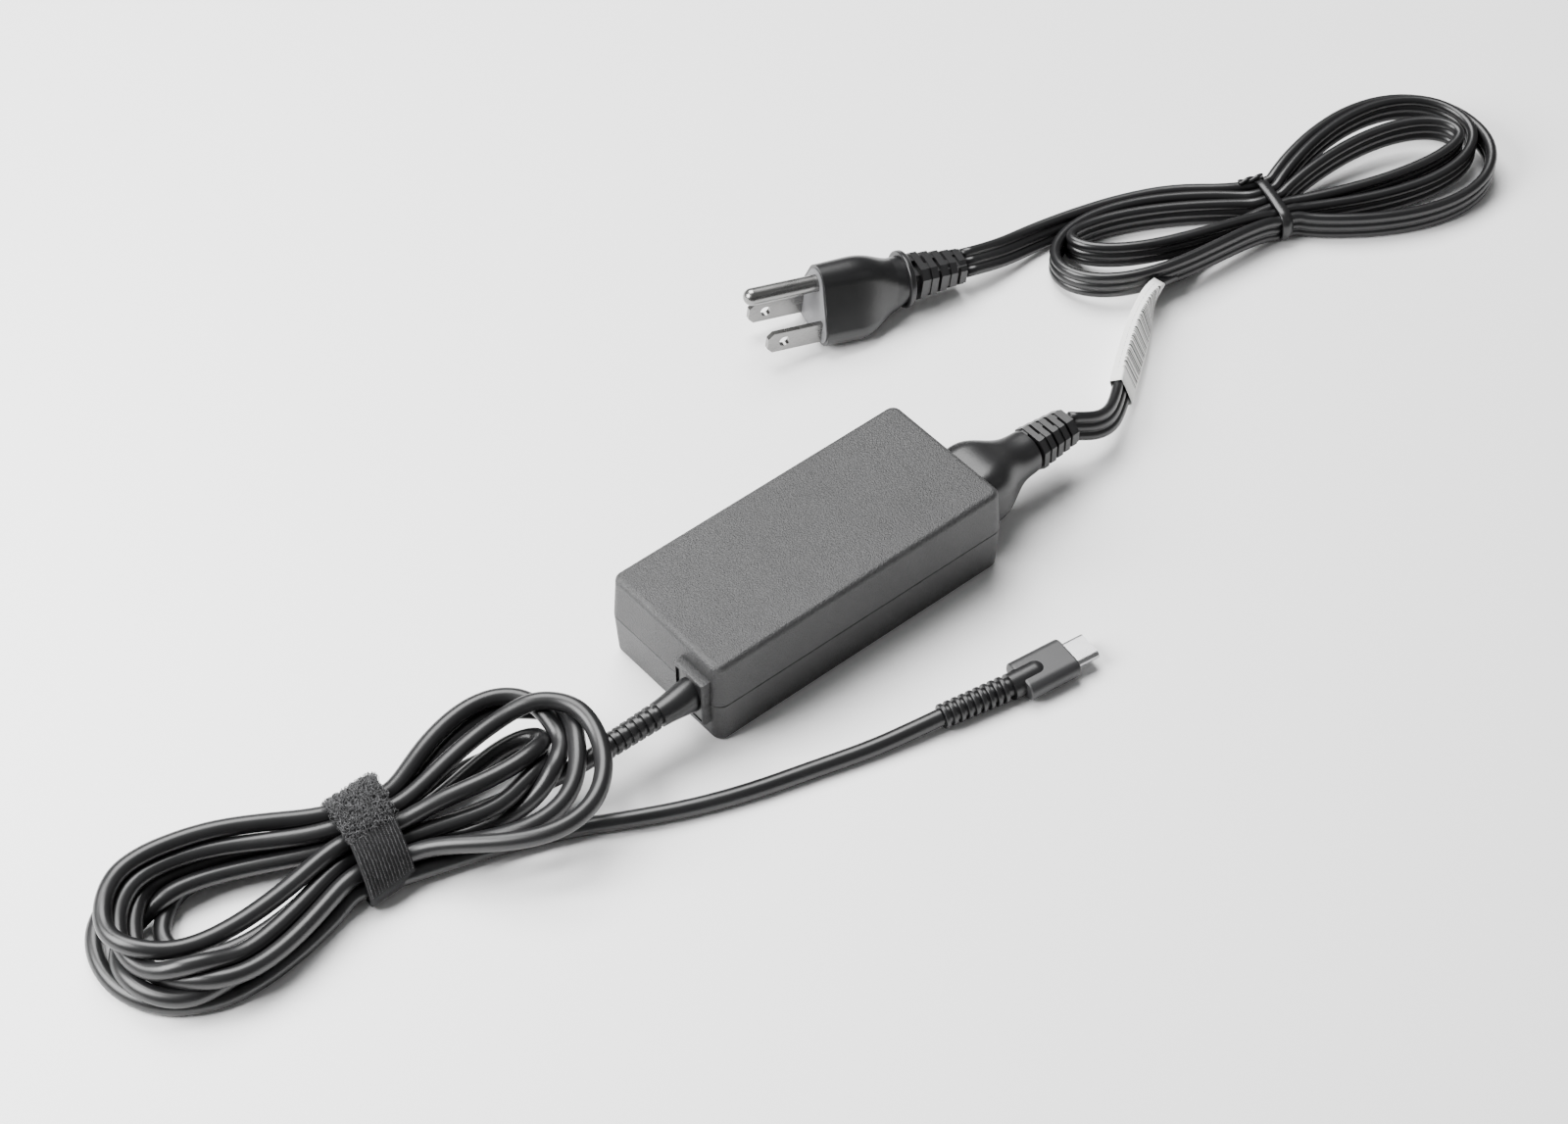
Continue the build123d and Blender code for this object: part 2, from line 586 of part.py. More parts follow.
def make_spreader():
    sheet = box(-41.5, 27.0, -16.0, 16.0, 23.6, 24.1)
    sheet += box(-41.5, 27.0, 17.5, 18.0, 7.4, 23.0) + box(-41.5, 27.0, 15.5, 18.0, 22.9, 24.1)
    keep("heat_spreader", sheet)


def make_wires():
    dc_wires = Part()
    for dz in (-1.2, 1.2):
        start = DC_END + 4.3
        points = [(start, GLAND_Y, GLAND_Z + dz), (start + 2.6, GLAND_Y, GLAND_Z + dz),
                  (start + 5.2, GLAND_Y + dz, GLAND_Z - 3.4), (start + 5.2, GLAND_Y + dz, 6.8)]
        dc_wires += tunnel(points, 0.8)
    keep("output_wires", dc_wires)
    leads = Part()
    start = AC_END - INLET_DEPTH - 6.0
    for y, z in lobe_centres():
        points = [(start, INLET_Y + y, INLET_Z + z), (start - 2.2, INLET_Y + y, INLET_Z + z),
                  (start - 2.2, INLET_Y + y, 6.8)]
        leads += tunnel(points, 0.7)
    keep("inlet_wires", leads)


def make_label_sleeve():
    """Paper flag wrapped round the mains cord near the adapter end."""
    path = FilletPolyline(*MAINS_RUN, radius=corner_radii(MAINS_RUN))
    plane = Plane(origin=path @ 0, x_dir=(0, 0, 1), z_dir=path % 0)
    outer = sweep(plane * RectangleRounded(MAINS_W + 0.9, MAINS_T + 0.9, 1.85), path=path)
    inner = sweep(plane * RectangleRounded(MAINS_W + 0.3, MAINS_T + 0.3, 1.6), path=path)
    return (outer - inner) & box(107.0, 139.0, -10, 30, 0, 20)


make_shells()
keep("dc_strain_relief", make_dc_strain_relief())
make_inlet()
make_connector()
make_plug()
make_usb_plug()
make_cords()
keep("cord_label", make_label_sleeve())
make_board()
make_transformer()
make_choke()
make_power_parts()
make_spreader()
make_wires()

os.makedirs("parts", exist_ok=True)
for name, shape in nodes.items():
    export_step(shape, f"parts/{name}.step")
print(len(nodes), "nodes")
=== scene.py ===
import json
import random
from math import acos, cos, pi, radians, sin, tau

import bpy
import numpy as np
from mathutils import Matrix, Vector

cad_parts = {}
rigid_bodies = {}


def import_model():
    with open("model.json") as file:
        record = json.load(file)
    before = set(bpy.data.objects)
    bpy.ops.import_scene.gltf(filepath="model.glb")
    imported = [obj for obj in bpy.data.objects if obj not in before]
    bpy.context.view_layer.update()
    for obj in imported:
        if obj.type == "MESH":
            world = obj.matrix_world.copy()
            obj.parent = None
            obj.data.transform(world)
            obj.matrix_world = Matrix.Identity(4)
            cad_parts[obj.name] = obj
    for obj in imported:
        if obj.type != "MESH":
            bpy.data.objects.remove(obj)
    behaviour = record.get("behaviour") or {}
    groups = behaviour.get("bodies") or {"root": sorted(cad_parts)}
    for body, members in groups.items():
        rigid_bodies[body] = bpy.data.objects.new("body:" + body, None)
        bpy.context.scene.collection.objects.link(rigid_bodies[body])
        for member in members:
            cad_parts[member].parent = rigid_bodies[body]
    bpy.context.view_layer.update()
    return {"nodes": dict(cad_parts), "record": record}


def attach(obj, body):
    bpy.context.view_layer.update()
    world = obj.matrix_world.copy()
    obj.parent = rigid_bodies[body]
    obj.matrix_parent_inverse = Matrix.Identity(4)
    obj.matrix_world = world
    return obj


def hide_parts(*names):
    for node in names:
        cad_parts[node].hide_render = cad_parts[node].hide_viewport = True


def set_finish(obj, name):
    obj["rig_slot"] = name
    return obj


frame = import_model()
MM = 0.001

# ---- sizes, all as in the CAD model

DC_D = 4.5 * MM
FLAT_W = 8.2 * MM
FLAT_T = 3.0 * MM
HANK_TURN = radians(-15.5)
DC_HUB = Vector((-129.5, 4.0, 0.0)) * MM
MAINS_HUB = Vector((192.5, 26.0, 0.0)) * MM


# ---- camera, first; nothing else is made before it

CAMERA_TURN = (-39.381, 47.812, -0.706)   # degrees: azimuth, elevation, roll
CAMERA_TARGET = (0.001, 0.0, 0.013975)
CAMERA_DISTANCE = 0.86785
CAMERA_SHIFT = (-0.00623, 0.00144)        # right and up
CAMERA_LENS = 79.469


def make_camera():
    """The camera that took the photo."""
    az, el, roll = [radians(a) for a in CAMERA_TURN]
    back = Vector((sin(az) * cos(el), -cos(az) * cos(el), sin(el)))
    side = Vector((cos(az), sin(az), 0))
    up = back.cross(side)
    right = side * cos(roll) + up * sin(roll)
    top = up * cos(roll) - side * sin(roll)
    spot = Vector(CAMERA_TARGET) + back * CAMERA_DISTANCE
    spot += right * CAMERA_SHIFT[0] + top * CAMERA_SHIFT[1]
    data = bpy.data.cameras.new("camera")
    data.lens, data.sensor_width = CAMERA_LENS, 36
    data.clip_start, data.clip_end = 0.01, 20
    camera = bpy.data.objects.new("camera", data)
    bpy.context.scene.collection.objects.link(camera)
    camera.matrix_world = Matrix.Translation(spot) @ Matrix((right, top, back)).transposed().to_4x4()
    bpy.context.scene.camera = camera


make_camera()


# ---- small helpers

def add_mesh(name, points, faces, smooth=True):
    mesh = bpy.data.meshes.new(name)
    mesh.from_pydata([tuple(p) for p in points], [], faces)
    mesh.validate()
    mesh.update()
    if smooth:
        mesh.polygons.foreach_set("use_smooth", [True] * len(mesh.polygons))
    piece = bpy.data.objects.new(name, mesh)
    bpy.context.scene.collection.objects.link(piece)
    return piece


def band_faces(rows, sides, closed=False, around=True):
    """Four-sided faces between rows of points; around joins each row's last point to its first."""
    faces = []
    for i in range(rows if closed else rows - 1):
        for j in range(sides if around else sides - 1):
            a, b = i * sides, (i + 1) % rows * sides
            k = (j + 1) % sides
            faces.append((a + j, a + k, b + k, b + j))
    return faces


def hub_point(hub, u, v, z):
    """A point given in mm along, across and above the middle of a hank."""
    return Vector((hub.x + (u * cos(HANK_TURN) - v * sin(HANK_TURN)) * MM,
                   hub.y + (u * sin(HANK_TURN) + v * cos(HANK_TURN)) * MM, z * MM))


def nurbs(name, points, radius, sides=6):
    """One open spline through a list of points, in metres."""
    data = bpy.data.curves.new(name, "CURVE")
    data.dimensions = "3D"
    spline = data.splines.new("NURBS")
    spline.points.add(len(points) - 1)
    for knot, p in zip(spline.points, points):
        knot.co = (p[0], p[1], p[2], 1)
    spline.order_u = 3
    spline.use_endpoint_u = True
    data.resolution_u = 4
    data.bevel_depth = radius
    data.bevel_resolution = sides
    data.use_fill_caps = True
    piece = bpy.data.objects.new(name, data)
    bpy.context.scene.collection.objects.link(piece)
    return piece


def spline_points(points):
    """Points along the NURBS line of a route."""
    route = nurbs("route", points, 0)
    bpy.context.view_layer.update()
    mesh = bpy.data.meshes.new_from_object(route)
    line = np.array([v.co[:] for v in mesh.vertices])
    bpy.data.objects.remove(route)
    bpy.data.meshes.remove(mesh)
    return line


def as_mesh(curve):
    """The same shape as a mesh."""
    name = curve.name
    bpy.context.view_layer.update()
    mesh = bpy.data.meshes.new_from_object(curve)
    bpy.data.objects.remove(curve)
    piece = bpy.data.objects.new(name, mesh)
    piece.name = name
    bpy.context.scene.collection.objects.link(piece)
    mesh.polygons.foreach_set("use_smooth", [True] * len(mesh.polygons))
    return piece


def run_length(line):
    """Length of a line up to each of its points."""
    return np.r_[0, np.cumsum(np.linalg.norm(np.diff(line, axis=0), axis=1))]


def evenly(points, step):
    """The same turns with their points a set step apart."""
    points = np.array([tuple(p) for p in points], float)
    run = run_length(points)
    stops = np.linspace(0, run[-1], int(round(run[-1] / step)) + 1)
    return np.stack([np.interp(stops, run, points[:, i]) for i in range(3)], 1)


# ---- round output cord

# across and height of each strand where the strap holds it
DC_SLOTS = {
    "1a": (-9.2, 3.7), "1b": (-4.6, 3.7), "1c": (0.0, 3.7), "1d": (4.6, 3.7), "1e": (9.2, 3.7),
    "2a": (-6.9, 7.7), "2b": (-2.3, 7.7), "2c": (2.3, 7.7), "2d": (6.9, 7.7),
    "3a": (-0.2, 11.6), "3b": (4.4, 11.6), "3c": (9.0, 11.6),
}
# side, slot it leaves, slot it comes back to, reach, v of its end, far bulge, near bulge,
# how late each bulge comes, height of its end, rise of the far side over the near side
DC_TURNS = [
    (-1, "1c", "1d", 55.0, -2.0, 16.5, 15.0, 1.6, 1.3, 2.4, 0.0),
    (1, "1d", "3c", 50.5, 9.0, 18.0, 17.0, 1.2, 1.5, 14.0, 4.0),
    (-1, "3c", "3a", 67.0, -2.0, 18.5, 18.0, 1.6, 1.3, 12.5, 0.0),
    (1, "3a", "2c", 48.0, 9.0, 8.5, 7.5, 1.2, 1.2, 12.0, -4.5),
    (-1, "2c", "1b", 66.5, -8.0, 18.5, 23.0, 1.6, 1.3, 4.5, 0.0),
    (1, "1b", "2d", 52.5, 6.0, 20.0, 24.0, 1.3, 1.4, 16.0, 0.0),
    (-1, "2d", "2a", 61.5, -5.0, 19.0, 26.0, 1.6, 1.3, 6.5, 0.0),
    (1, "2a", "3b", 57.0, 1.5, 18.5, 28.0, 1.5, 1.4, 19.0, 0.0),
    (-1, "3b", "2b", 64.5, -5.0, 21.0, 24.5, 1.6, 1.4, 9.0, 0.0),
    (1, "2b", "1e", 47.5, 7.0, 10.0, 11.0, 1.3, 1.3, 8.5, -2.0),
    (-1, "1e", "1a", 70.0, 0.0, 21.0, 29.5, 1.6, 1.4, 2.3, 0.0),
]
DC_RUN = [
    (-74.6, -12.8, 13.7), (-78.2, -12.4, 12.8), (-82.0, -11.3, 11.6), (-91.0, -7.8, 8.2),
    (-101.5, -3.9, 5.7), (-112.0, -0.6, 4.7),
]
DC_TAIL = [
    (-110.0, -11.6, 3.1), (-99.5, -15.2, 2.4), (-88.0, -20.3, 2.3), (-76.0, -27.0, 2.3),
    (-63.5, -33.3, 2.3), (-49.5, -38.6, 2.3), (-34.5, -42.8, 2.3), (-20.0, -47.1, 2.4),
    (-9.0, -49.6, 3.0), (0.0, -51.4, 3.55),
]
DC_WAIST = 8.0                # half of the straight stretch through the strap
DC_LOWEST = 2.27              # of the middle of a strand in a turn
COIL_STEP = 3.0 * MM

SETTLE_GAP = 1.02 * DC_D      # between the middles of two strands
SETTLE_NEAR = 2.2 * DC_D      # along the cord, nearer than this counts as the same strand
SETTLE_HELD = (5.5 * MM, 12 * MM)  # half length and half width of what the strap holds still
SETTLE_FLOOR = DC_D / 2 + 0.02 * MM
SETTLE_WAY = (0.6, 0.6, 1.4)  # strands part upwards sooner than sideways
SETTLE_BACK = (0.03, 0.03, 0.01)  # how much of the way back to rest each round goes
SETTLE_SMOOTH, SETTLE_STIFF = 0.03, 0.22
SETTLE_ENDS = 9               # points of the run and of the tail that the coil starts beside


def turn_points(hub, slots, row, half_waist, lowest, count=28):
    """One teardrop turn of a hank, from one slot in its tie to another."""
    side, leave, come, reach, tip, far, near, far_late, near_late, end_z, rise = row
    leave, come = slots[leave], slots[come]
    starts_far = leave[0] > come[0]
    points = []
    for i in range(count + 1):
        t = tau * i / count
        k = (1 - cos(t)) / 2
        slot = leave if t <= pi else come
        far_side = (t <= pi) == starts_far
        bulge, late, sign = (far, far_late, 1) if far_side else (near, near_late, -1)
        swell = abs(sin(t))
        v = slot[0] + (tip - slot[0]) * k + sign * bulge * swell * sin(t / 2) ** late
        z = slot[1] + (end_z - slot[1]) * k ** 0.7 + sign * rise * swell
        u = side * (half_waist + (reach - half_waist) * k)
        points.append(hub_point(hub, u, v, max(z, lowest)))
    return points


def settle(coil, fixed, rounds=150):
    """Moves a hank's strands apart until none lies in another, in the fixed cord or in the floor."""
    rest = coil.copy()
    order = np.arange(len(coil))
    step = run_length(coil)[-1] / (len(coil) - 1)
    near = int(SETTLE_NEAR / step) + 1
    apart = np.abs(order[:, None] - order[None, :]) > near
    ends = run_length(fixed)
    clear_ends = np.ones((len(coil), len(fixed)))
    split = int(np.argmax(np.diff(ends)))
    for i in range(near + 1):
        clear_ends[i, max(0, split - SETTLE_ENDS):split + 1] = 0
        clear_ends[-1 - i, split + 1:split + SETTLE_ENDS + 1] = 0
    u = (coil[:, 0] - DC_HUB.x) * cos(HANK_TURN) + (coil[:, 1] - DC_HUB.y) * sin(HANK_TURN)
    v = (coil[:, 1] - DC_HUB.y) * cos(HANK_TURN) - (coil[:, 0] - DC_HUB.x) * sin(HANK_TURN)
    held = (order < 2) | (order > len(coil) - 3)
    held |= (np.abs(u) < SETTLE_HELD[0]) & (np.abs(v) < SETTLE_HELD[1])
    free = (~held)[:, None].astype(float)
    mask = np.c_[apart, clear_ends]
    line = coil
    for _ in range(rounds):
        gap = line[:, None, :] - np.r_[line, fixed][None, :, :]
        push = np.clip(SETTLE_GAP - np.linalg.norm(gap, axis=2), 0, None) * mask
        way = gap * np.array(SETTLE_WAY)
        way /= np.linalg.norm(way, axis=2, keepdims=True) + 1e-12
        crowd = np.maximum((push > 0).sum(1), 1)[:, None] ** 0.6
        line = line + free * 0.5 * (way * push[:, :, None]).sum(1) / crowd
        bend = np.zeros_like(line)
        bend[1:-1] = (line[2:] + line[:-2]) / 2 - line[1:-1]
        stiff = np.zeros_like(line)
        stiff[1:-1] = (bend[2:] + bend[:-2]) / 2 - bend[1:-1]
        line = line + free * (SETTLE_SMOOTH * bend - SETTLE_STIFF * stiff)
        line = line + free * (rest - line) * np.array(SETTLE_BACK)
        line[:, 2] = np.maximum(line[:, 2], SETTLE_FLOOR)
    return line


def make_dc_cord():
    run, tail = np.array(DC_RUN) * MM, np.array(DC_TAIL) * MM
    coil = []
    for row in DC_TURNS:
        coil += turn_points(DC_HUB, DC_SLOTS, row, DC_WAIST, DC_LOWEST)
    ends = np.r_[spline_points(run), spline_points(tail)]
    coil = settle(evenly(coil, COIL_STEP), ends)
    cord = as_mesh(nurbs("dc_cord", [*run, *coil, *tail], DC_D / 2, 7))
    line = spline_points([*run, *coil, *tail])
    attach(cord, "adapter")
    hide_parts("dc_cord_run", "dc_hank", "dc_cord_tail")
    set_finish(cord, "cord_jacket")


# ---- flat mains cord

# six strands on edge, side by side
MAINS_SLOTS = {n: (-7.75 + 3.1 * i, 4.7) for i, n in enumerate("abcdef")}
# the same columns as in DC_TURNS
MAINS_TURNS = [
    (1, "c", "d", 61.0, 0.5, 12.5, 7.5, 1.0, 1.0, 8.5, 1.0),
    (-1, "d", "b", 58.5, 9.5, 9.0, 11.0, 1.0, 1.6, 5.2, -1.5),
    (1, "b", "e", 66.0, 3.0, 22.0, 16.0, 1.0, 1.4, 7.5, 1.8),
    (-1, "e", "a", 66.5, 2.0, 18.5, 18.0, 0.9, 1.7, 5.2, -2.4),
    (1, "a", "f", 68.5, -2.0, 26.5, 21.0, 1.0, 0.9, 6.5, 2.6),
]
# x, y, z, and the roll of the flat section: 0 on edge, 90 lying flat
MAINS_RUN = [
    (84.5, -5.0, 13.4, -14), (89.0, -6.9, 11.8, -14), (93.8, -7.9, 9.9, -15), (99.2, -7.0, 8.3, -18),
    (105.0, -3.6, 7.2, -20), (112.5, 2.0, 6.6, -26), (126.0, 11.6, 5.9, -26), (135.5, 18.2, 5.5, -14),
    (142.5, 22.6, 5.1, 8), (149.5, 25.4, 3.8, 50), (157.0, 27.0, 2.0, 84), (166.0, 28.2, 2.1, 84),
    (174.5, 28.4, 3.2, 50), (181.0, 27.4, 4.3, 16),
]
MAINS_TAIL = [
    (187.6, 37.4, 4.7, 0), (176.0, 48.0, 4.4, 0), (162.0, 54.4, 4.3, 6), (147.0, 58.4, 4.3, 16),
    (134.0, 60.6, 4.5, 28), (124.0, 60.8, 5.6, 40), (116.5, 61.4, 7.0, 50), (109.6, 62.8, 8.0, 52),
]
MAINS_WAIST = 3.5
MAINS_LOWEST = 4.2
MAINS_COUNT = 16              # steps in each turn
CORE_STEPS = 9                # points round each core on each face of the cord


def flat_outline():
    """Outline of three cores side by side; the first number is across, the second through."""
    radius, pitch = FLAT_T / 2, (FLAT_W - FLAT_T) / 2
    valley = acos(pitch / 2 / radius)
    points = []
    for centre, start, stop in ((1, 0, pi - valley), (0, valley, pi - valley), (-1, valley, pi)):
        for i in range(CORE_STEPS):
            a = start + (stop - start) * i / CORE_STEPS
            points.append((centre * pitch + radius * cos(a), radius * sin(a)))
    return points + [(-w, -t) for w, t in points]


def flat_frames(line, roll):
    """Directions across and through the flat section at each point of its line."""
    along = np.gradient(line, axis=0)
    along /= np.linalg.norm(along, axis=1, keepdims=True)
    level = np.cross(along, np.array([0.0, 0.0, 1.0]))
    level /= np.linalg.norm(level, axis=1, keepdims=True)
    upward = np.cross(level, along)
    c, s = np.cos(np.radians(roll))[:, None], np.sin(np.radians(roll))[:, None]
    return upward * c + level * s, level * c - upward * s


def flat_rings(line, roll, outline):
    """The outline's points at each point of the line."""
    across, through = flat_frames(line, roll)
    w, t = np.array(outline).T[:, None, :, None]
    return line[:, None, :] + across[:, None, :] * w + through[:, None, :] * t


def mains_line():
    """The flat cord's line and its roll, both along splines of the same kind."""
    points = [(*(Vector(p[:3]) * MM), p[3]) for p in MAINS_RUN]
    for row in MAINS_TURNS:
        turn = turn_points(MAINS_HUB, MAINS_SLOTS, row, MAINS_WAIST, MAINS_LOWEST, MAINS_COUNT)
        points += [(*p, 0.0) for p in turn]
    points += [(*(Vector(p[:3]) * MM), p[3]) for p in MAINS_TAIL]
    rolls = spline_points([(p[3] * MM, i * MM, 0) for i, p in enumerate(points)])[:, 0] / MM
    return spline_points([p[:3] for p in points]), rolls


def make_mains_cord():
    line, roll = mains_line()
    rings = flat_rings(line, roll, flat_outline())
    rows, sides = rings.shape[:2]
    faces = band_faces(rows, sides)
    faces.append(tuple(range(sides))[::-1])
    faces.append(tuple(range((rows - 1) * sides, rows * sides)))
    cord = add_mesh("mains_cord", rings.reshape(-1, 3), faces)
    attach(cord, "mains_lead")
    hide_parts("mains_cord_run", "mains_hank", "mains_cord_tail")
    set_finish(cord, "mains_jacket")


FLAG_SPAN = (26 * MM, 71 * MM)
FLAG_LENGTHWAYS = (5.0, 41.0)  # where its bars are, in mm along it
FLAG_BARS = (0.09, 0.34)       # and as a part of the way round it
FLAG_GAP = 0.25 * MM
FLAG_SIDES = 40
PAPER_T = 0.12 * MM


def flag_outline():
    """Paper drawn round the three cores: nearly flat faces and blunt corners."""
    outline = []
    for i in range(FLAG_SIDES):
        c, s = cos(tau * i / FLAG_SIDES), sin(tau * i / FLAG_SIDES)
        w = (FLAT_W / 2 + FLAG_GAP) * (1 if c > 0 else -1) * min(1, abs(c) * 1.5)
        t = (FLAT_T / 2 + FLAG_GAP) * (1 if s > 0 else -1) * min(1, abs(s) * 1.3)
        outline.append((w, t))
    return outline


def make_flag():
    """Paper flag round the mains cord."""
    line, roll = mains_line()
    run = run_length(line)
    part = (run > FLAG_SPAN[0]) & (run < FLAG_SPAN[1])
    line, roll, run = line[part], roll[part], run[part]
    rings = flat_rings(line, roll, flag_outline())
    uvs = [((r - run[0]) / MM, j / FLAG_SIDES) for r in run for j in range(FLAG_SIDES)]
    piece = add_mesh("flag", rings.reshape(-1, 3), band_faces(len(line), FLAG_SIDES))
    layer = piece.data.uv_layers.new(name="flag")
    for loop in piece.data.loops:
        layer.data[loop.index].uv = uvs[loop.vertex_index]
    solid = piece.modifiers.new("paper", "SOLIDIFY")
    solid.thickness, solid.offset = PAPER_T, 1
    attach(piece, "mains_lead")
    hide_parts("cord_label")
    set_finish(piece, "paper_label")
    return piece


# ---- ties

def rounded_loop(half_v, half_z, centre_z, radius, count):
    """Closed outline round a bundle, as (v, z) pairs, starting under the near side."""
    points = []
    for i in range(count):
        a = tau * i / count - pi / 2
        x, z = cos(a), sin(a)
        corner = max(abs(x), abs(z))
        x, z = x / corner, z / corner
        v, h = x * half_v, z * half_z
        inner_v, inner_h = half_v - radius, half_z - radius
        if abs(v) > inner_v and abs(h) > inner_h:
            out = Vector((abs(v) - inner_v, abs(h) - inner_h)).normalized() * radius
            v = (inner_v + out.x) * (1 if v > 0 else -1)
            h = (inner_h + out.y) * (1 if h > 0 else -1)
        points.append((v, centre_z + h))
    return points


STRAP_HALF = 6.2              # half of its width, mm
STRAP_T = 1.1 * MM
STRAP_ROWS = 96
STRAP_COLUMNS = 26
STRAP_YAW = 0.31              # how far it lies askew
STRAP_AT = -1.2               # where it is along the hank
STRAP_LEAN = -0.05
STRAP_LOWEST = 0.7
# across and height of the strap round the bundle
BUNDLE = [
    (-1.0, 0.75), (9.0, 0.75), (12.2, 2.4), (12.8, 7.0), (12.6, 11.6), (10.0, 14.8), (4.4, 15.1),
    (-0.5, 15.0), (-4.0, 13.9), (-8.5, 10.6), (-11.2, 7.2), (-12.4, 4.2), (-11.6, 1.6), (-8.0, 0.75),
]


def strap_outline():
    """The strap's closed line round the bundle, as (v, z) pairs, starting under it."""
    knots = np.array(BUNDLE + BUNDLE[:1])
    run = run_length(knots)
    stops = np.arange(STRAP_ROWS) * run[-1] / STRAP_ROWS
    line = np.stack([np.interp(stops, run, knots[:, i]) for i in (0, 1)], 1)
    return sum(np.roll(line, i, 0) for i in range(-3, 4)) / 7


def strap_point(u, v, z):
    """A point given in mm along, across and above the strap, kept off the floor."""
    return hub_point(DC_HUB, u + STRAP_AT + STRAP_LEAN * v, v + STRAP_YAW * u, max(z, STRAP_LOWEST))


def strap_uv(piece, uvs):
    """Gives each face its texture coordinates; faces across the band's join count on past 1."""
    layer = piece.data.uv_layers.new(name="strap")
    for face in piece.data.polygons:
        wraps = max(uvs[v][0] for v in face.vertices) > 0.9
        for index, vertex in zip(face.loop_indices, face.vertices):
            a, b = uvs[vertex]
            layer.data[index].uv = (a + 1 if wraps and a < 0.1 else a, b)


def make_strap():
    """Hook-and-loop strap: a band with a loop pile on top and its hooked end over the near side."""
    rng = random.Random(11)
    points, uvs = [], []
    for j, (v, z) in enumerate(strap_outline()):
        for i in range(STRAP_COLUMNS + 1):
            points.append(strap_point(STRAP_HALF * (2 * i / STRAP_COLUMNS - 1), v, z))
            uvs.append((j / STRAP_ROWS, i / STRAP_COLUMNS))
    faces = band_faces(STRAP_ROWS, STRAP_COLUMNS + 1, closed=True, around=False)
    band = add_mesh("strap", points, faces)
    strap_uv(band, uvs)
    pile = make_pile(band, rng)
    solid = band.modifiers.new("thickness", "SOLIDIFY")
    solid.thickness, solid.offset = STRAP_T, 0
    soft = band.modifiers.new("edges", "BEVEL")
    soft.width, soft.segments = 0.3 * MM, 2
    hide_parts("cable_strap")
    pieces = [band, pile] + make_strap_end(rng)
    for piece in pieces:
        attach(piece, "adapter")
        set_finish(piece, "strap_fabric")
    return pieces


def add_fibre(points, faces, base, out, lean, size, thick):
    """One small loop of yarn, as a thin three-sided tube."""
    first, steps = len(points), 5
    side = out.cross(lean).normalized()
    for s in range(steps + 1):
        t = s / steps
        centre = base + out * (size * sin(pi * t)) + lean * (size * 0.8 * (t - 0.5))
        normal = (out * cos(pi * t) + lean * 0.5).cross(side).normalized()
        for r in range(3):
            a = tau * r / 3
            points.append(centre + (side * cos(a) + normal * sin(a)) * thick)
    for s in range(steps):
        for r in range(3):
            q = (r + 1) % 3
            a, b = first + s * 3, first + (s + 1) * 3
            faces.append((a + r, a + q, b + q, b + r))


PILE_SPAN = (0.28, 0.575)     # part of the way round the strap
PILE_FADE = 0.04
PILE_SIZE = (0.7 * MM, 2.5 * MM)
PILE_T = 0.085 * MM
PILE_COUNT, EDGE_COUNT = 5, 9  # loops on each face, and on a face at the strap's edge


def make_pile(band, rng):
    """Short looped fibres standing on the strap's upper side and over its edges."""
    points, faces = [], []
    middle = hub_point(DC_HUB, 0, 0, 7.6)
    for face in band.data.polygons:
        fraction = face.vertices[0] // (STRAP_COLUMNS + 1) / STRAP_ROWS
        if not PILE_SPAN[0] < fraction < PILE_SPAN[1]:
            continue
        thin = min(1.0, (PILE_SPAN[1] - fraction) / PILE_FADE)
        corners = [band.data.vertices[v].co for v in face.vertices]
        out = face.normal if (face.center - middle).dot(face.normal) > 0 else -face.normal
        column = face.vertices[0] % (STRAP_COLUMNS + 1)
        count = (EDGE_COUNT if column in (0, STRAP_COLUMNS - 1) else PILE_COUNT) * thin
        for _ in range(int(count) + 1):
            a, b = rng.random(), rng.random()
            base = (corners[0] * (1 - a) + corners[1] * a) * (1 - b)
            base = base + (corners[3] * (1 - a) + corners[2] * a) * b + out * 0.3 * MM
            spread = Vector([rng.uniform(-0.8, 0.8) for _ in range(3)])
            up = (out + spread).normalized()
            lean = up.cross(Vector([rng.uniform(-1, 1) for _ in range(3)])).normalized()
            add_fibre(points, faces, base, up, lean, rng.uniform(*PILE_SIZE), PILE_T)
    return add_mesh("strap_pile", points, faces)


STRAP_END = (53, 76)          # rows of the strap's outline that its end covers
STRAP_CUT = 1.0               # rows that the cut edge is askew
END_COLUMNS = 12
END_HALF = STRAP_HALF - 0.1
END_WEAVE = 0.018             # texture length of each pair of rows
END_LIFT, END_CURL = 0.8, 0.4  # above the band's middle, and more at the cut edge
END_T = 0.7 * MM


def raised(row, lift):
    """Across and height of a point above the strap's line, at a row that need not be whole."""
    outline = strap_outline()
    along = np.roll(outline, -1, 0) - np.roll(outline, 1, 0)
    out = np.stack([along[:, 1], -along[:, 0]], 1) / np.linalg.norm(along, axis=1, keepdims=True)
    return [np.interp(row, np.arange(STRAP_ROWS), outline[:, n] + out[:, n] * lift) for n in (0, 1)]


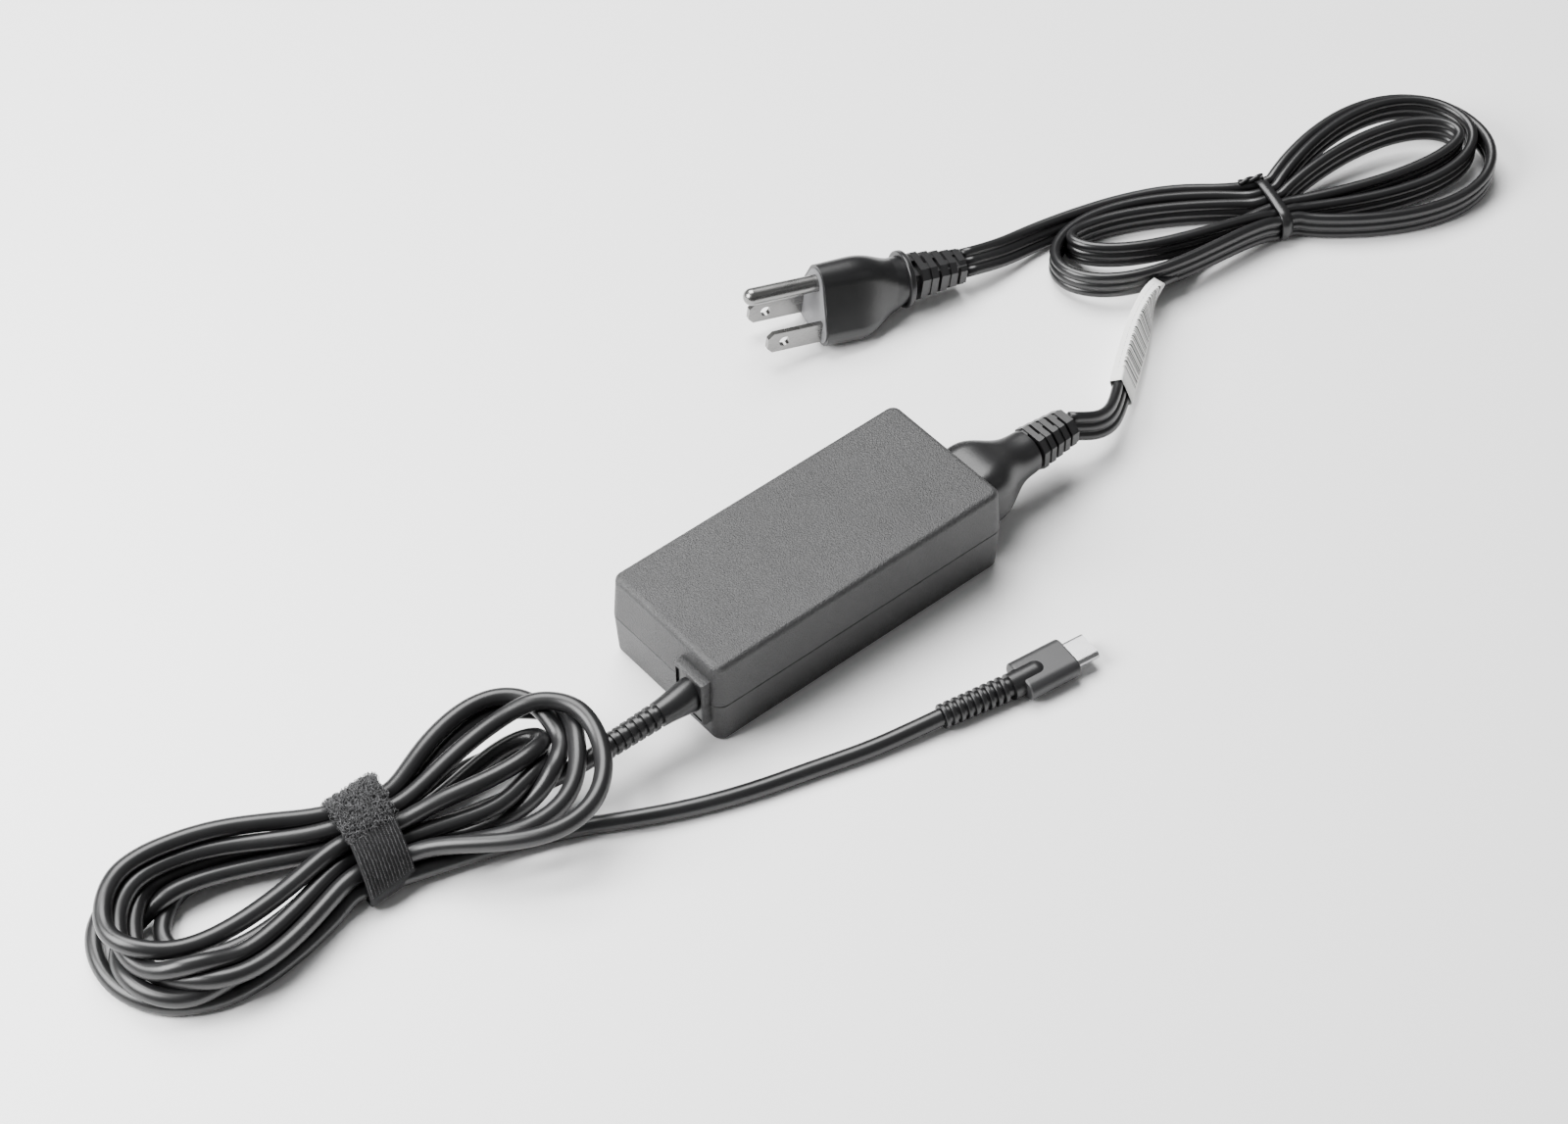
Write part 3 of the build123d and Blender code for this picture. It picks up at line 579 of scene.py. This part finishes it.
def make_strap_end(rng):
    """The strap's hooked end: a thin layer over the band, its cut edge a little askew."""
    rows = list(range(*STRAP_END, 2))
    points, uvs = [], []
    for j, row in enumerate(rows):
        part = j / (len(rows) - 1)
        lift = END_LIFT + END_CURL * (j == len(rows) - 1)
        for i in range(END_COLUMNS + 1):
            v, z = raised(row - STRAP_CUT * part * i / END_COLUMNS, lift)
            points.append(strap_point(END_HALF * (2 * i / END_COLUMNS - 1), v, z))
            uvs.append((j * END_WEAVE, i / END_COLUMNS))
    end = add_mesh("strap_end", points, band_faces(len(rows), END_COLUMNS + 1, around=False))
    strap_uv(end, uvs)
    smooth = end.modifiers.new("smooth", "SUBSURF")
    smooth.levels = smooth.render_levels = 3
    solid = end.modifiers.new("thickness", "SOLIDIFY")
    solid.thickness, solid.offset = END_T, 0
    return [end, make_hooks(rng)]


HOOK_ROWS = 31
HOOK_COLUMNS = 14
HOOK_HALF = STRAP_HALF - 0.55
HOOK_LIFT = 1.1
HOOK_SPAN = (0.6, 1.8)        # rows left free at the start and at the cut edge
HOOK_SIZE = (0.34, 0.46)
HOOK_T = 0.15 * MM


def make_hooks(rng):
    """Rows of small stiff hooks over the strap's end."""
    points, faces = [], []
    first = STRAP_END[0] + HOOK_SPAN[0]
    covered = STRAP_END[1] - STRAP_END[0] - sum(HOOK_SPAN)
    for j in range(HOOK_ROWS):
        part = j / (HOOK_ROWS - 1)
        for i in range(HOOK_COLUMNS):
            row = first + covered * part - STRAP_CUT * part * i / (HOOK_COLUMNS - 1)
            u = HOOK_HALF * (2 * i / (HOOK_COLUMNS - 1) - 1) + rng.uniform(-0.08, 0.08)
            base = strap_point(u, *raised(row, HOOK_LIFT))
            lean = (strap_point(u, *raised(row + 1, HOOK_LIFT)) - base).normalized()
            up = (strap_point(u, *raised(row, HOOK_LIFT + 1)) - base).normalized()
            add_fibre(points, faces, base, up, lean, rng.uniform(*HOOK_SIZE) * MM, HOOK_T)
    return add_mesh("strap_hooks", points, faces)


TIE_COUNT = 64                # points round the tie
TIE_HALF = (10.3, 4.75)       # across and up
TIE_Z = 4.85
TIE_CORNER = 4.3
TIE_SWAY = 0.6                # how far it wanders along the hank
TIE_LOWEST = 0.5
TWIST_COUNT = 24              # points of each twisted end
TWIST_STEP = 0.3              # radians turned from one point to the next
TWIST_R = 0.35
TWIST_AT = (1.4, 8.3, 9.9)    # where the ends leave the tie: along, across and up
TWIST_WAY = (-0.3, 0.04, -0.03)  # how far each point is on from the last
WIRE_R = 0.6 * MM
# outline of the tie: along the hank, and outward
TIE_SECTION = [
    (-1.7, -0.3), (-1.5, 0.2), (-0.6, 0.25), (0, 0.5), (0.6, 0.25), (1.5, 0.2), (1.7, -0.3), (0, -0.35),
]


def make_tie():
    """Coated wire tie round the mains hank, its two ends twisted together on the far side."""
    centre = hub_point(MAINS_HUB, 0, 0, TIE_Z)
    axis = Vector((cos(HANK_TURN), sin(HANK_TURN), 0))
    rings = []
    for i, (v, z) in enumerate(rounded_loop(*TIE_HALF, TIE_Z, TIE_CORNER, TIE_COUNT)):
        p = hub_point(MAINS_HUB, TIE_SWAY * sin(tau * i / TIE_COUNT), v, max(z, TIE_LOWEST))
        out = (p - centre) - axis * (p - centre).dot(axis)
        out.normalize()
        rings += [p + axis * a * MM + out * b * MM for a, b in TIE_SECTION]
    band = add_mesh("twist_band", rings, band_faces(TIE_COUNT, len(TIE_SECTION), closed=True))
    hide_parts("twist_tie")
    pieces = [band]
    for side in (0, 1):
        helix = []
        for i in range(TWIST_COUNT):
            a = side * pi + i * TWIST_STEP
            u, v, z = [at + way * i for at, way in zip(TWIST_AT, TWIST_WAY)]
            helix.append(hub_point(MAINS_HUB, u, v + TWIST_R * cos(a), z + TWIST_R * sin(a)))
        pieces.append(as_mesh(nurbs(f"twist_end_{side + 1}", helix, WIRE_R, 4)))
    for piece in pieces:
        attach(piece, "mains_lead")
        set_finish(piece, "tie_plastic")
    return pieces


# ---- materials

def new_material(name, color, rough, metallic=0.0):
    """A material with its node tree and its shader."""
    material = bpy.data.materials.new(name)
    material.use_nodes = True
    shader = material.node_tree.nodes["Principled BSDF"]
    shader.inputs["Base Color"].default_value = (*color, 1)
    shader.inputs["Roughness"].default_value = rough
    shader.inputs["Metallic"].default_value = metallic
    return material, material.node_tree, shader


def noise(tree, scale, detail=4.0, source=None):
    """Noise in the object's own place, or in the source's."""
    texture = tree.nodes.new("ShaderNodeTexNoise")
    texture.inputs["Scale"].default_value = scale
    texture.inputs["Detail"].default_value = detail
    if source is None:
        coords = tree.nodes.new("ShaderNodeTexCoord")
        source = coords.outputs["Object"]
    tree.links.new(source, texture.inputs["Vector"])
    return texture


def ramp(tree, source, low, high, first, second):
    """From one colour to another between two values of the source."""
    node = tree.nodes.new("ShaderNodeValToRGB")
    node.color_ramp.elements[0].position = low
    node.color_ramp.elements[1].position = high
    node.color_ramp.elements[0].color = (*first, 1)
    node.color_ramp.elements[1].color = (*second, 1)
    tree.links.new(source, node.inputs["Fac"])
    return node


def span(tree, source, low, high):
    """The source's 0 to 1 as low to high."""
    node = tree.nodes.new("ShaderNodeMapRange")
    node.inputs["To Min"].default_value = low
    node.inputs["To Max"].default_value = high
    tree.links.new(source, node.inputs["Value"])
    return node.outputs["Result"]


def bump(tree, shader, source, strength, depth):
    """Surface relief from the source, its depth in metres."""
    node = tree.nodes.new("ShaderNodeBump")
    node.inputs["Strength"].default_value = strength
    node.inputs["Distance"].default_value = depth
    tree.links.new(source, node.inputs["Height"])
    tree.links.new(node.outputs["Normal"], shader.inputs["Normal"])


def math_node(tree, operation, first, second, third=None):
    """A sum, product or test; each value is a socket or a number."""
    node = tree.nodes.new("ShaderNodeMath")
    node.operation = operation
    for socket, value in zip(node.inputs, (first, second, third)):
        if isinstance(value, (int, float)):
            socket.default_value = value
        elif value is not None:
            tree.links.new(value, socket)
    return node.outputs[0]


def moulded(name, color, rough, grain=2600.0, strength=0.25, wear=0.15):
    """Moulded plastic or rubber: a fine grain, a little unevenness in tone and gloss."""
    material, tree, shader = new_material(name, color, rough)
    cloud = noise(tree, 90.0, 5.0)
    dark, light = [c * (1 - wear) for c in color], [c * (1 + wear) for c in color]
    tone = ramp(tree, cloud.outputs["Fac"], 0.3, 0.7, dark, light)
    tree.links.new(tone.outputs["Color"], shader.inputs["Base Color"])
    patch = noise(tree, 35.0, 3.0)
    gloss = span(tree, patch.outputs["Fac"], rough - 0.07, rough + 0.07)
    tree.links.new(gloss, shader.inputs["Roughness"])
    fine = noise(tree, grain, 2.0)
    bump(tree, shader, fine.outputs["Fac"], strength, 0.00006)
    return material


# height of the seam between the shells, and half the height of the painted shade line along it
SEAM_Z, SEAM_SHADE_HALF = 13.7 * MM, 0.20 * MM
CASE_GRAIN = 0.22 * MM


def case_material():
    """Case plastic with a coarse spark-eroded grain and a painted shade line where the shells meet,
    standing in for the shade in the groove between them.
    """
    material = moulded("case_plastic", (0.022, 0.022, 0.0225), 0.46, 2600.0, 1.0, 0.10)
    tree = material.node_tree
    shader = tree.nodes["Principled BSDF"]
    for node in tree.nodes:
        if node.type == "BUMP":
            node.inputs["Distance"].default_value = CASE_GRAIN
    speck = noise(tree, 3000.0, 2.0)
    light = span(tree, speck.outputs["Fac"], 0.3, 1.9)
    mix = tree.nodes.new("ShaderNodeMix")
    mix.data_type, mix.blend_type = "RGBA", "MULTIPLY"
    mix.inputs["Factor"].default_value = 1
    tree.links.new(shader.inputs["Base Color"].links[0].from_socket, mix.inputs["A"])
    tree.links.new(light, mix.inputs["B"])
    coords = tree.nodes.new("ShaderNodeTexCoord")
    height = tree.nodes.new("ShaderNodeSeparateXYZ")
    tree.links.new(coords.outputs["Object"], height.inputs["Vector"])
    # painted shade: a near-black band at the seam's height stands in for the shade in the groove
    # between the two shells
    seam_shade = math_node(tree, "COMPARE", height.outputs["Z"], SEAM_Z, SEAM_SHADE_HALF)
    line = tree.nodes.new("ShaderNodeMix")
    line.data_type = "RGBA"
    line.inputs["B"].default_value = (0.001, 0.001, 0.001, 1)
    tree.links.new(seam_shade, line.inputs["Factor"])
    tree.links.new(mix.outputs["Result"], line.inputs["A"])
    tree.links.new(line.outputs["Result"], shader.inputs["Base Color"])
    return material


def metal(name, color, rough, stretch=(8.0, 8.0, 110.0)):
    """Plated metal with a fine grain drawn out one way."""
    material, tree, shader = new_material(name, color, rough, 1.0)
    coords = tree.nodes.new("ShaderNodeTexCoord")
    mapping = tree.nodes.new("ShaderNodeMapping")
    mapping.inputs["Scale"].default_value = stretch
    tree.links.new(coords.outputs["Object"], mapping.inputs["Vector"])
    grain = noise(tree, 8.0, 4.0, mapping.outputs["Vector"])
    gloss = span(tree, grain.outputs["Fac"], rough - 0.08, rough + 0.12)
    tree.links.new(gloss, shader.inputs["Roughness"])
    cloud = noise(tree, 220.0, 3.0)
    tone = ramp(tree, cloud.outputs["Fac"], 0.3, 0.75, [c * 0.88 for c in color], color)
    tree.links.new(tone.outputs["Color"], shader.inputs["Base Color"])
    bump(tree, shader, grain.outputs["Fac"], 0.08, 0.00004)
    return material


def strap_material():
    """Woven tape: rows of yarn in a brick pattern, with fuzz."""
    material, tree, shader = new_material("strap_fabric", (0.030, 0.030, 0.032), 0.75)
    uv = tree.nodes.new("ShaderNodeUVMap")
    uv.uv_map = "strap"
    mapping = tree.nodes.new("ShaderNodeMapping")
    mapping.inputs["Scale"].default_value = (150.0, 14.0, 1.0)
    tree.links.new(uv.outputs["UV"], mapping.inputs["Vector"])
    weave = tree.nodes.new("ShaderNodeTexBrick")
    weave.offset = 0.5
    weave.inputs["Scale"].default_value = 1.0
    weave.inputs["Mortar Size"].default_value = 0.12
    weave.inputs["Mortar Smooth"].default_value = 0.6
    weave.inputs["Color1"].default_value = (1, 1, 1, 1)
    weave.inputs["Color2"].default_value = (0.75, 0.75, 0.75, 1)
    weave.inputs["Mortar"].default_value = (0, 0, 0, 1)
    tree.links.new(mapping.outputs["Vector"], weave.inputs["Vector"])
    tone = ramp(tree, weave.outputs["Color"], 0.0, 1.0, (0.006, 0.006, 0.007), (0.042, 0.042, 0.045))
    tree.links.new(tone.outputs["Color"], shader.inputs["Base Color"])
    fuzz = noise(tree, 2400.0, 3.0)
    mix = tree.nodes.new("ShaderNodeMix")
    mix.data_type = "FLOAT"
    mix.inputs["Factor"].default_value = 0.4
    grey = tree.nodes.new("ShaderNodeRGBToBW")
    tree.links.new(weave.outputs["Color"], grey.inputs["Color"])
    tree.links.new(grey.outputs["Val"], mix.inputs["A"])
    tree.links.new(fuzz.outputs["Fac"], mix.inputs["B"])
    bump(tree, shader, mix.outputs["Result"], 0.9, 0.0004)
    return material


def pile_material():
    """Loops of yarn and small hooks, lighter and darker at random."""
    material, tree, shader = new_material("strap_pile", (0.05, 0.05, 0.052), 0.6)
    cloud = noise(tree, 900.0, 3.0)
    tone = ramp(tree, cloud.outputs["Fac"], 0.3, 0.7, (0.012, 0.012, 0.0125), (0.10, 0.10, 0.103))
    tree.links.new(tone.outputs["Color"], shader.inputs["Base Color"])
    bump(tree, shader, cloud.outputs["Fac"], 0.3, 0.0001)
    return material


PAPER, INK = (0.8, 0.8, 0.78), (0.03, 0.03, 0.03)


def between(tree, source, low, high):
    """1 where the source lies between two values, and 0 elsewhere."""
    above = math_node(tree, "GREATER_THAN", source, low)
    below = math_node(tree, "LESS_THAN", source, high)
    return math_node(tree, "MULTIPLY", above, below)


def flag_material():
    """White paper with plain bars of uneven width across part of it."""
    material, tree, shader = new_material("paper_label", PAPER, 0.55)
    uv = tree.nodes.new("ShaderNodeUVMap")
    uv.uv_map = "flag"
    split = tree.nodes.new("ShaderNodeSeparateXYZ")
    tree.links.new(uv.outputs["UV"], split.inputs["Vector"])
    joined = tree.nodes.new("ShaderNodeCombineXYZ")
    tree.links.new(split.outputs["X"], joined.inputs["X"])
    bars = noise(tree, 1.35, 4.0, joined.outputs["Vector"])
    black = ramp(tree, bars.outputs["Fac"], 0.485, 0.515, (0, 0, 0), (1, 1, 1))
    along = between(tree, split.outputs["X"], *FLAG_LENGTHWAYS)
    area = math_node(tree, "MULTIPLY", along, between(tree, split.outputs["Y"], *FLAG_BARS))
    mix = tree.nodes.new("ShaderNodeMix")
    mix.data_type = "RGBA"
    mix.inputs["A"].default_value = (*PAPER, 1)
    tree.links.new(area, mix.inputs["Factor"])
    tone = ramp(tree, black.outputs["Color"], 0.0, 1.0, INK, PAPER)
    tree.links.new(tone.outputs["Color"], mix.inputs["B"])
    tree.links.new(mix.outputs["Result"], shader.inputs["Base Color"])
    fibre = noise(tree, 1500.0, 4.0)
    bump(tree, shader, fibre.outputs["Fac"], 0.15, 0.00005)
    return material


def make_materials():
    """One material for each of the record's slots."""
    return {
        "case_plastic": case_material(),
        "label_film": moulded("label_film", (0.05, 0.05, 0.055), 0.35, 1200.0, 0.1),
        "cord_jacket": moulded("cord_jacket", (0.009, 0.009, 0.0095), 0.34, 900.0, 0.12),
        "mains_jacket": moulded("mains_jacket", (0.008, 0.008, 0.0085), 0.32, 800.0, 0.12),
        "plug_plastic": moulded("plug_plastic", (0.021, 0.021, 0.022), 0.42, 2200.0, 0.3),
        "shell_steel": metal("shell_steel", (0.40, 0.40, 0.405), 0.28),
        "inner_plastic": moulded("inner_plastic", (0.035, 0.035, 0.037), 0.5),
        "gold_contacts": metal("gold_contacts", (0.85, 0.62, 0.25), 0.25),
        "circuit_laminate": moulded("circuit_laminate", (0.03, 0.15, 0.06), 0.35),
        "pin_metal": metal("pin_metal", (0.25, 0.248, 0.244), 0.25),
        "wire_sleeve": moulded("wire_sleeve", (0.35, 0.04, 0.03), 0.4),
        "ferrite": moulded("ferrite", (0.05, 0.05, 0.055), 0.6),
        "copper_winding": metal("copper_winding", (0.70, 0.32, 0.14), 0.35, (240.0, 16.0, 16.0)),
        "pad_rubber": moulded("pad_rubber", (0.42, 0.48, 0.58), 0.7),
        "capacitor_sleeve": moulded("capacitor_sleeve", (0.03, 0.04, 0.12), 0.3),
        "capacitor_block": moulded("capacitor_block", (0.6, 0.42, 0.08), 0.35),
        "chip_epoxy": moulded("chip_epoxy", (0.02, 0.02, 0.02), 0.45),
        "heatsink_aluminium": metal("heatsink_aluminium", (0.78, 0.79, 0.80), 0.35),
        "tie_plastic": moulded("tie_plastic", (0.010, 0.010, 0.0105), 0.28, 1500.0, 0.1),
        "face_plastic": moulded("face_plastic", (0.135, 0.135, 0.14), 0.5),
        "strap_fabric": strap_material(),
        "paper_label": flag_material(),
    }


def paint(materials):
    """Gives each shown CAD node and each piece the material of its slot."""
    slots = {s["node"]: s["material_slot"] for s in frame["record"]["subparts"]}
    for name, node in frame["nodes"].items():
        if node.hide_render:
            continue
        node.data.materials.clear()
        node.data.materials.append(materials[slots[name]])
    pile = pile_material()
    special = {"strap_pile": pile, "strap_hooks": pile}
    for piece in bpy.data.objects:
        if "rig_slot" in piece and piece.type == "MESH":
            piece.data.materials.clear()
            piece.data.materials.append(special.get(piece.name, materials[piece["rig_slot"]]))


# ---- floor, light

FLOOR_HALF = 6
# name, place, where it points, width in metres, watts
LIGHTS = [
    ("key", (-0.46, 0.22, 0.42), (-0.03, 0.0, 0.0), 0.40, 11.0),
    ("top", (0.24, 0.62, 1.18), (0.02, 0.0, 0.0), 0.9, 38.0),
    ("fill", (0.60, -0.8, 0.7), (0.05, 0.0, 0.0), 0.5, 0.3),
]


def make_stage():
    """Pale floor, an even studio room and three soft lamps."""
    corners = [(x * FLOOR_HALF, y * FLOOR_HALF, 0) for x, y in ((-1, -1), (1, -1), (1, 1), (-1, 1))]
    floor = add_mesh("floor", corners, [(0, 1, 2, 3)], False)
    material, tree, shader = new_material("floor", (0.93, 0.93, 0.93), 0.8)
    cloud = noise(tree, 3.0, 2.0)
    tone = ramp(tree, cloud.outputs["Fac"], 0.3, 0.7, (0.92, 0.92, 0.92), (0.94, 0.94, 0.94))
    tree.links.new(tone.outputs["Color"], shader.inputs["Base Color"])
    floor.data.materials.append(material)
    world = bpy.data.worlds.new("studio")
    bpy.context.scene.world = world
    world.use_nodes = True
    world.node_tree.nodes["Background"].inputs["Color"].default_value = (1, 1, 1, 1)
    world.node_tree.nodes["Background"].inputs["Strength"].default_value = 0.20
    for name, spot, aim, size, power in LIGHTS:
        data = bpy.data.lights.new(name, "AREA")
        data.shape, data.size, data.energy = "SQUARE", size, power
        lamp = bpy.data.objects.new(name, data)
        bpy.context.scene.collection.objects.link(lamp)
        lamp.location = spot
        lamp.rotation_euler = (Vector(aim) - Vector(spot)).to_track_quat("-Z", "Y").to_euler()


strap = make_strap()
flag = make_flag()
tie = make_tie()
make_dc_cord()
make_mains_cord()
paint(make_materials())
make_stage()
